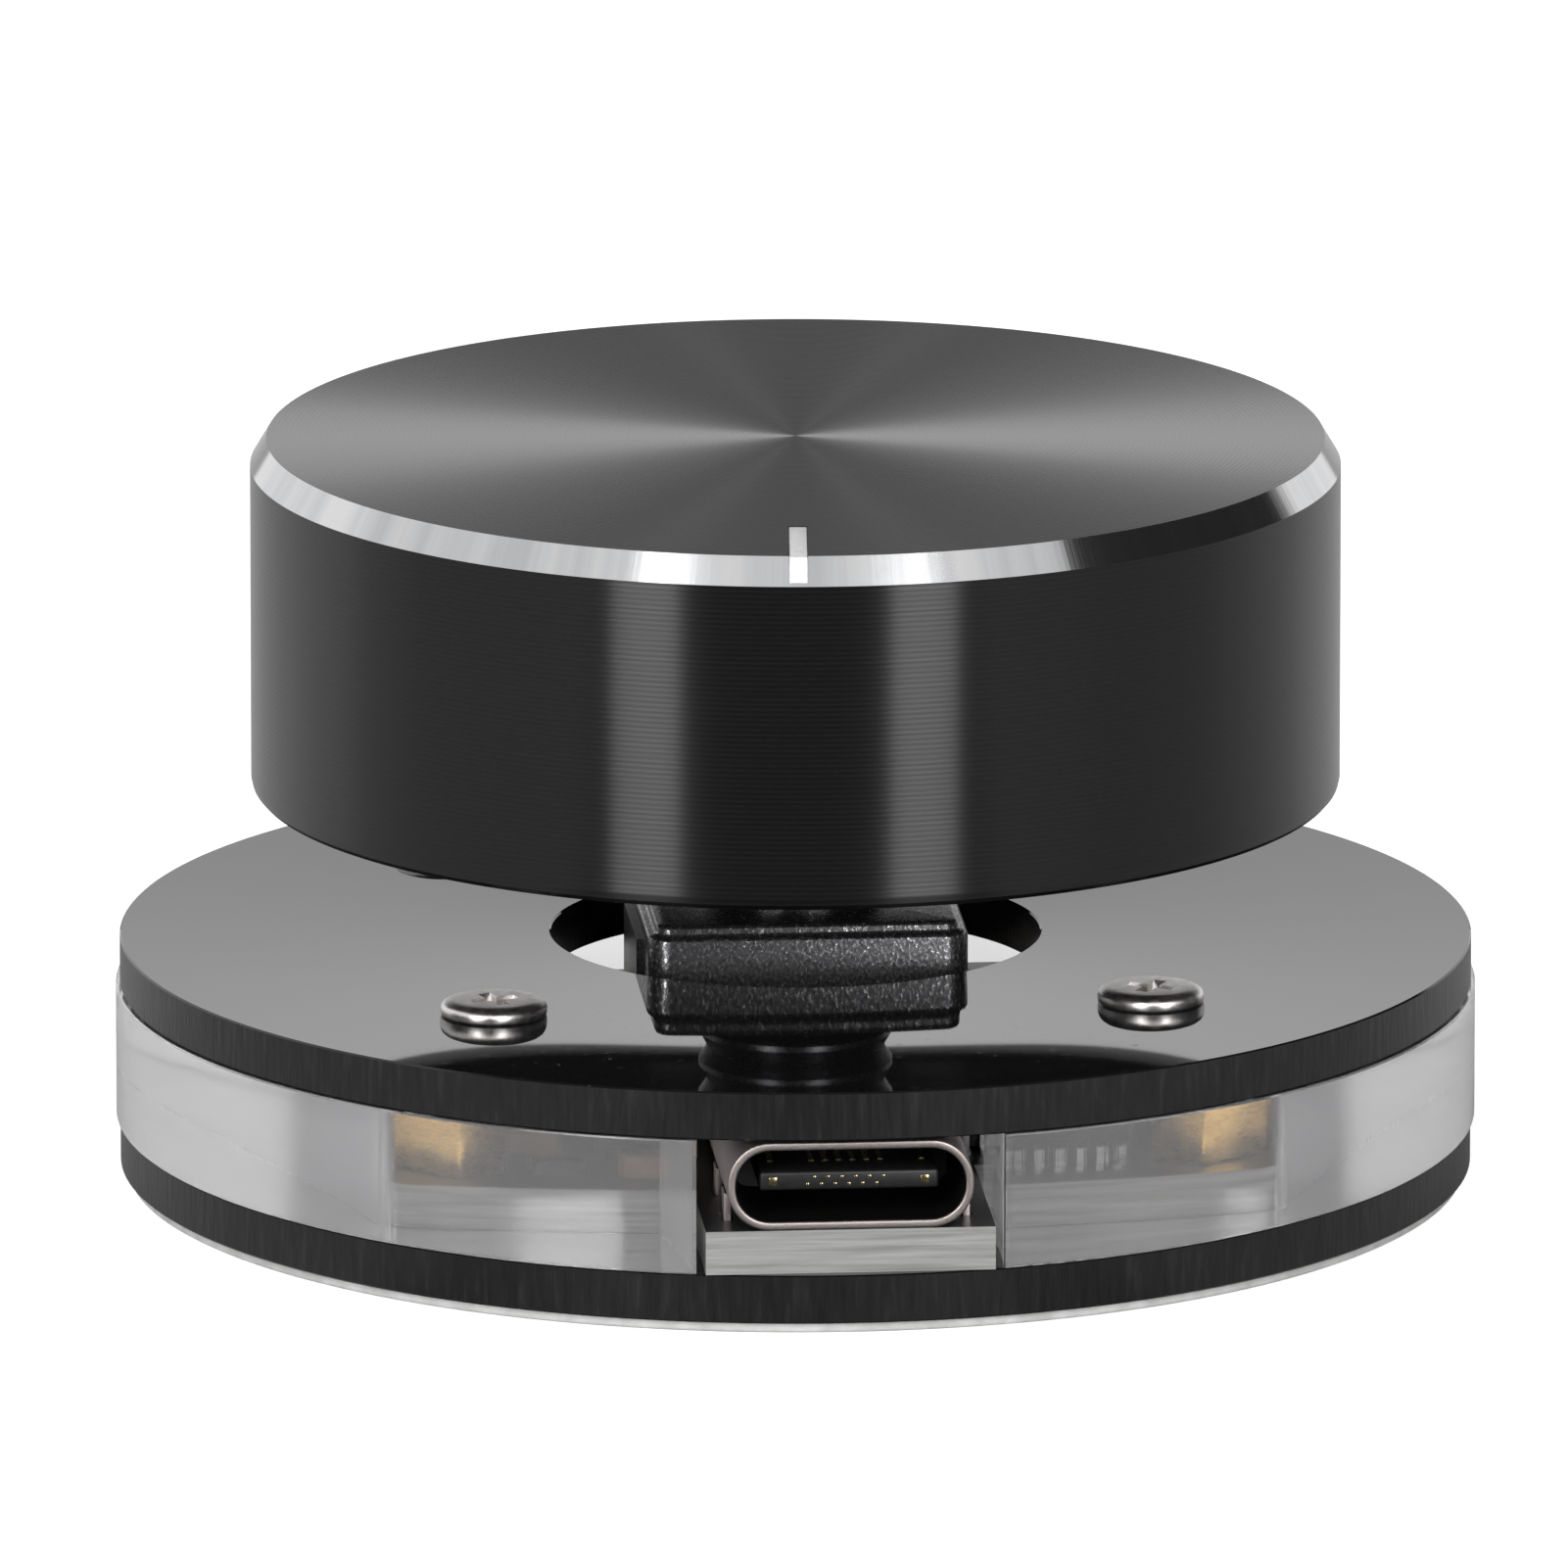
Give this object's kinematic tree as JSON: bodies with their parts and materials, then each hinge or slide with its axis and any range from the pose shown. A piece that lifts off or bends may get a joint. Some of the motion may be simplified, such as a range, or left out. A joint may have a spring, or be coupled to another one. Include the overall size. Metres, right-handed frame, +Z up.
{
  "type": "volume control knob",
  "caption": "Desk volume control: a turned cap spins and presses on a shaft encoder that stands on a round layered acrylic base with a USB-C inlet.",
  "frame": {"origin": "centre of the round base's underside, on the surface that it stands on", "axes": "+Z up along the knob's axis, -Y towards the USB-C inlet, +X to the right seen from the inlet"},
  "size_m": [0.05, 0.0498, 0.0276],
  "materials": {
    "silicone_pad": "soft translucent anti-slip sheet",
    "black_acrylic": "polished faces, laser cut edges",
    "clear_acrylic": "clear, laser cut edge",
    "nickel_screws": "nickel plated",
    "brass_standoffs": "machined",
    "board_laminate": "black solder mask on glass laminate with pale cut edges",
    "stainless_shell": "drawn, satin",
    "black_moulding": "moulded",
    "white_moulding": "moulded",
    "gilt_contacts": "gilt",
    "tinned_leads": "tinned",
    "ceramic_parts": "fired ceramic",
    "lamp_case": "moulded, white",
    "spring_steel": "rolled spring sheet",
    "die_cast_zinc": null,
    "turned_shaft": "turned",
    "anodised_aluminium": "black anodised, spun top, diamond cut bevel",
    "white_paint": "filled groove"
  },
  "bodies": {
    "base": {"foot_pad": "silicone_pad", "base_plate": "black_acrylic", "top_plate": "black_acrylic", "light_ring": "clear_acrylic", "top_screws": "nickel_screws", "base_screws": "nickel_screws", "standoffs": "brass_standoffs", "circuit_board": "board_laminate", "usb_shell": "stainless_shell", "usb_tongue": "black_moulding", "usb_contacts": "gilt_contacts", "controller_chip": "black_moulding", "controller_leads": "tinned_leads", "capacitors": "ceramic_parts", "resistors": "black_moulding", "leds": "lamp_case", "encoder_bracket": "tinned_leads", "encoder_terminals": "tinned_leads", "switch_base": "black_moulding", "switch_dome": "spring_steel", "contact_wafer": "black_moulding", "detent_spring": "spring_steel", "encoder_housing": "die_cast_zinc"},
    "rotor": {"encoder_rotor": "white_moulding", "rotor_wiper": "spring_steel"},
    "knob": {"knob_shell": "anodised_aluminium", "knob_pointer": "white_paint", "knob_insert": "black_moulding", "encoder_shaft": "turned_shaft", "shaft_clip": "spring_steel"}
  },
  "joints": [
    {"name": "knob_turn", "type": "hinge", "parent": "base", "child": "rotor", "pos_m": [0, 0, 0.0076], "axis": [0, 0, 1], "continuous": true},
    {"name": "knob_press", "type": "slide", "parent": "rotor", "child": "knob", "axis": [0, 0, -1], "range_m": [0, 0.0005], "stiffness_N_per_m": 6000, "springref_m": -0.0003, "deforming": ["switch_dome"]}
  ]
}
